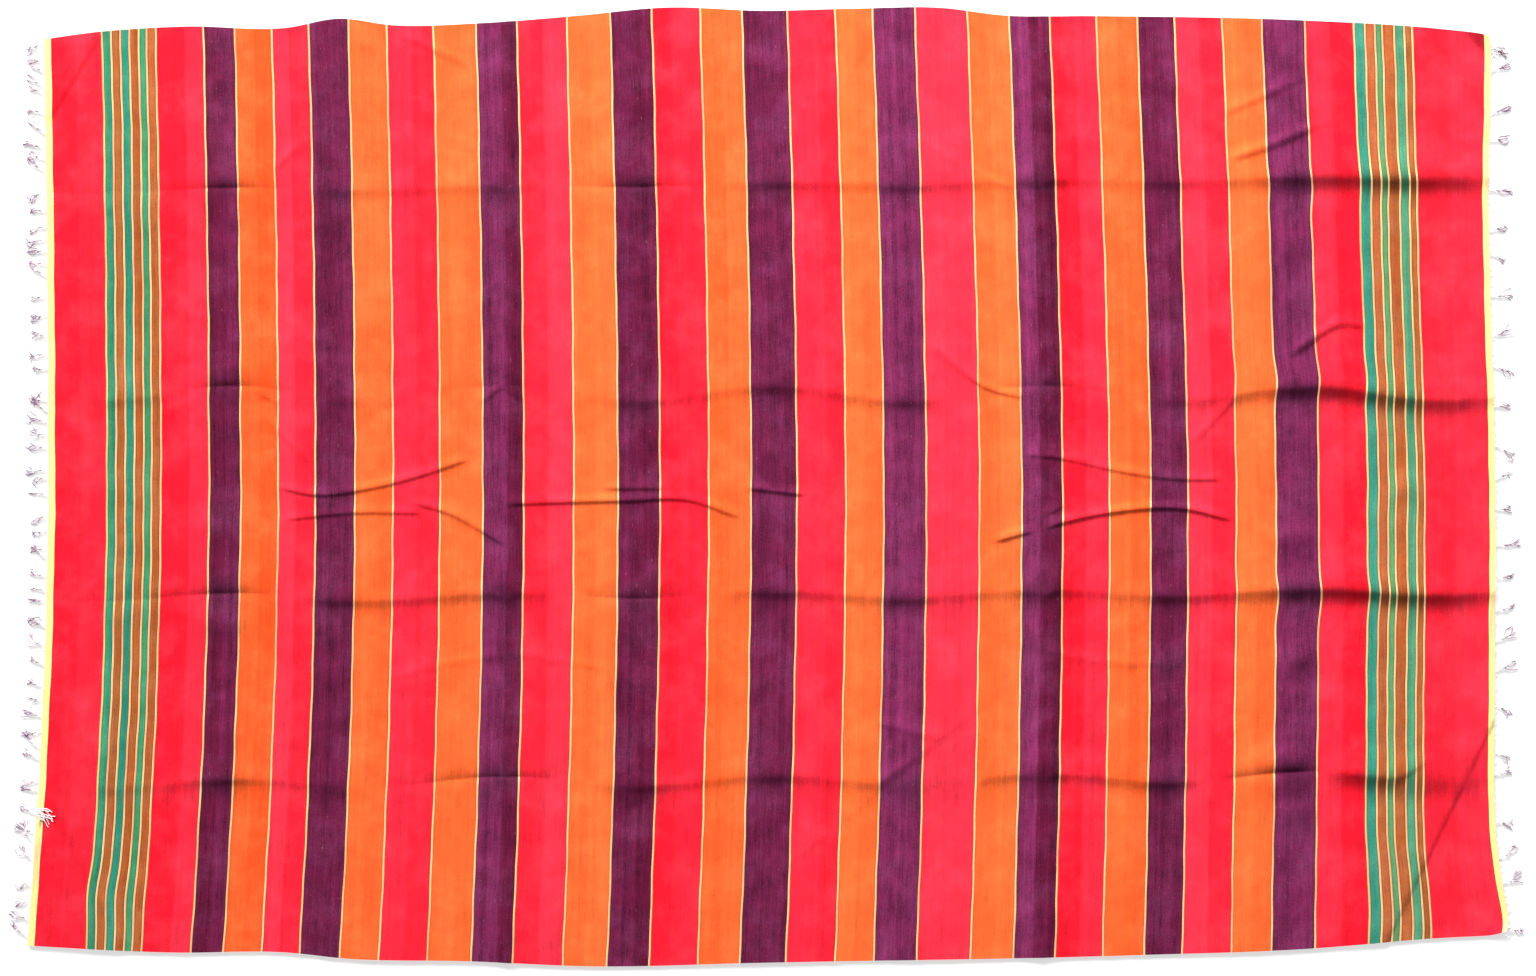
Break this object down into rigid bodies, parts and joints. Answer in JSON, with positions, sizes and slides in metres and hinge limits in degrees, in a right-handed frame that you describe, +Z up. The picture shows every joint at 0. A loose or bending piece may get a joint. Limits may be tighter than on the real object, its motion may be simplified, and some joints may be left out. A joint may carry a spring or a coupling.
{
  "type": "striped flatwoven rug",
  "caption": "Flat striped cotton rug with knotted fringe at both ends; it folds across in thirds along two creases and its corners turn over.",
  "frame": {"origin": "middle of the rug's box on the floor it lies on", "axes": "+X along the rug towards its east end, +Y across it towards its north edge, +Z up from the floor"},
  "size_m": [2.464, 1.57, 0.005],
  "materials": {
    "warp_cotton": "matte",
    "red_weft": "matte",
    "purple_weft": "matte",
    "orange_weft": "matte",
    "green_weft": "matte",
    "brown_weft": "matte",
    "yellow_weft": "matte"
  },
  "bodies": {
    "middle_third": {"orange_band_4": "orange_weft", "orange_band_5": "orange_weft", "orange_band_6": "orange_weft", "orange_band_7": "orange_weft", "purple_band_3_middle": "purple_weft", "purple_band_4": "purple_weft", "purple_band_5": "purple_weft", "purple_band_6": "purple_weft", "purple_band_7_middle": "purple_weft", "red_band_4": "red_weft", "red_band_5": "red_weft", "red_band_6": "red_weft", "red_band_7": "red_weft", "warp_middle": "warp_cotton"},
    "west_third": {"brown_stripe_1": "brown_weft", "brown_stripe_2": "brown_weft", "brown_stripe_3": "brown_weft", "green_stripe_1": "green_weft", "green_stripe_2": "green_weft", "green_stripe_3": "green_weft", "header_west": "yellow_weft", "orange_band_1": "orange_weft", "orange_band_2": "orange_weft", "orange_band_3": "orange_weft", "purple_band_1": "purple_weft", "purple_band_2": "purple_weft", "purple_band_3_west": "purple_weft", "red_band_1": "red_weft", "red_band_2": "red_weft", "red_band_3": "red_weft", "red_end_west": "red_weft", "warp_west": "warp_cotton"},
    "east_third": {"brown_stripe_4": "brown_weft", "brown_stripe_5": "brown_weft", "brown_stripe_6": "brown_weft", "green_stripe_4": "green_weft", "green_stripe_5": "green_weft", "green_stripe_6": "green_weft", "header_east": "yellow_weft", "orange_band_8": "orange_weft", "orange_band_9": "orange_weft", "purple_band_7_east": "purple_weft", "purple_band_8": "purple_weft", "purple_band_9": "purple_weft", "red_band_10": "red_weft", "red_band_8": "red_weft", "red_band_9": "red_weft", "red_end_east": "red_weft", "warp_east": "warp_cotton"},
    "corner_ne": {"corner_warp_ne": "warp_cotton", "corner_weft_ne": "red_weft"},
    "corner_nw": {"corner_warp_nw": "warp_cotton", "corner_weft_nw": "red_weft"},
    "corner_se": {"corner_warp_se": "warp_cotton", "corner_weft_se": "red_weft"},
    "corner_sw": {"corner_warp_sw": "warp_cotton", "corner_weft_sw": "red_weft"}
  },
  "joints": [
    {"name": "fold_west", "type": "hinge", "parent": "middle_third", "child": "west_third", "pos_m": [-0.432, 0, 0.0057], "axis": [0, 1, 0], "range_deg": [0, 180]},
    {"name": "fold_east", "type": "hinge", "parent": "middle_third", "child": "east_third", "pos_m": [0.44, 0, 0.0101], "axis": [0, -1, 0], "range_deg": [0, 180]},
    {"name": "turn_over_nw", "type": "hinge", "parent": "west_third", "child": "corner_nw", "pos_m": [-1.139, 0.67692, 0.00425], "axis": [0.52, 0.8542, 0], "range_deg": [0, 180]},
    {"name": "turn_over_ne", "type": "hinge", "parent": "east_third", "child": "corner_ne", "pos_m": [1.13, 0.67098, 0.00425], "axis": [0.5548, -0.832, 0], "range_deg": [0, 180]},
    {"name": "turn_over_sw", "type": "hinge", "parent": "west_third", "child": "corner_sw", "pos_m": [-1.125, -0.62729, 0.00425], "axis": [-0.426, 0.9047, 0], "range_deg": [0, 180]},
    {"name": "turn_over_se", "type": "hinge", "parent": "east_third", "child": "corner_se", "pos_m": [1.0905, -0.56432, 0.00425], "axis": [-0.4372, -0.8993, 0], "range_deg": [0, 180]}
  ]
}
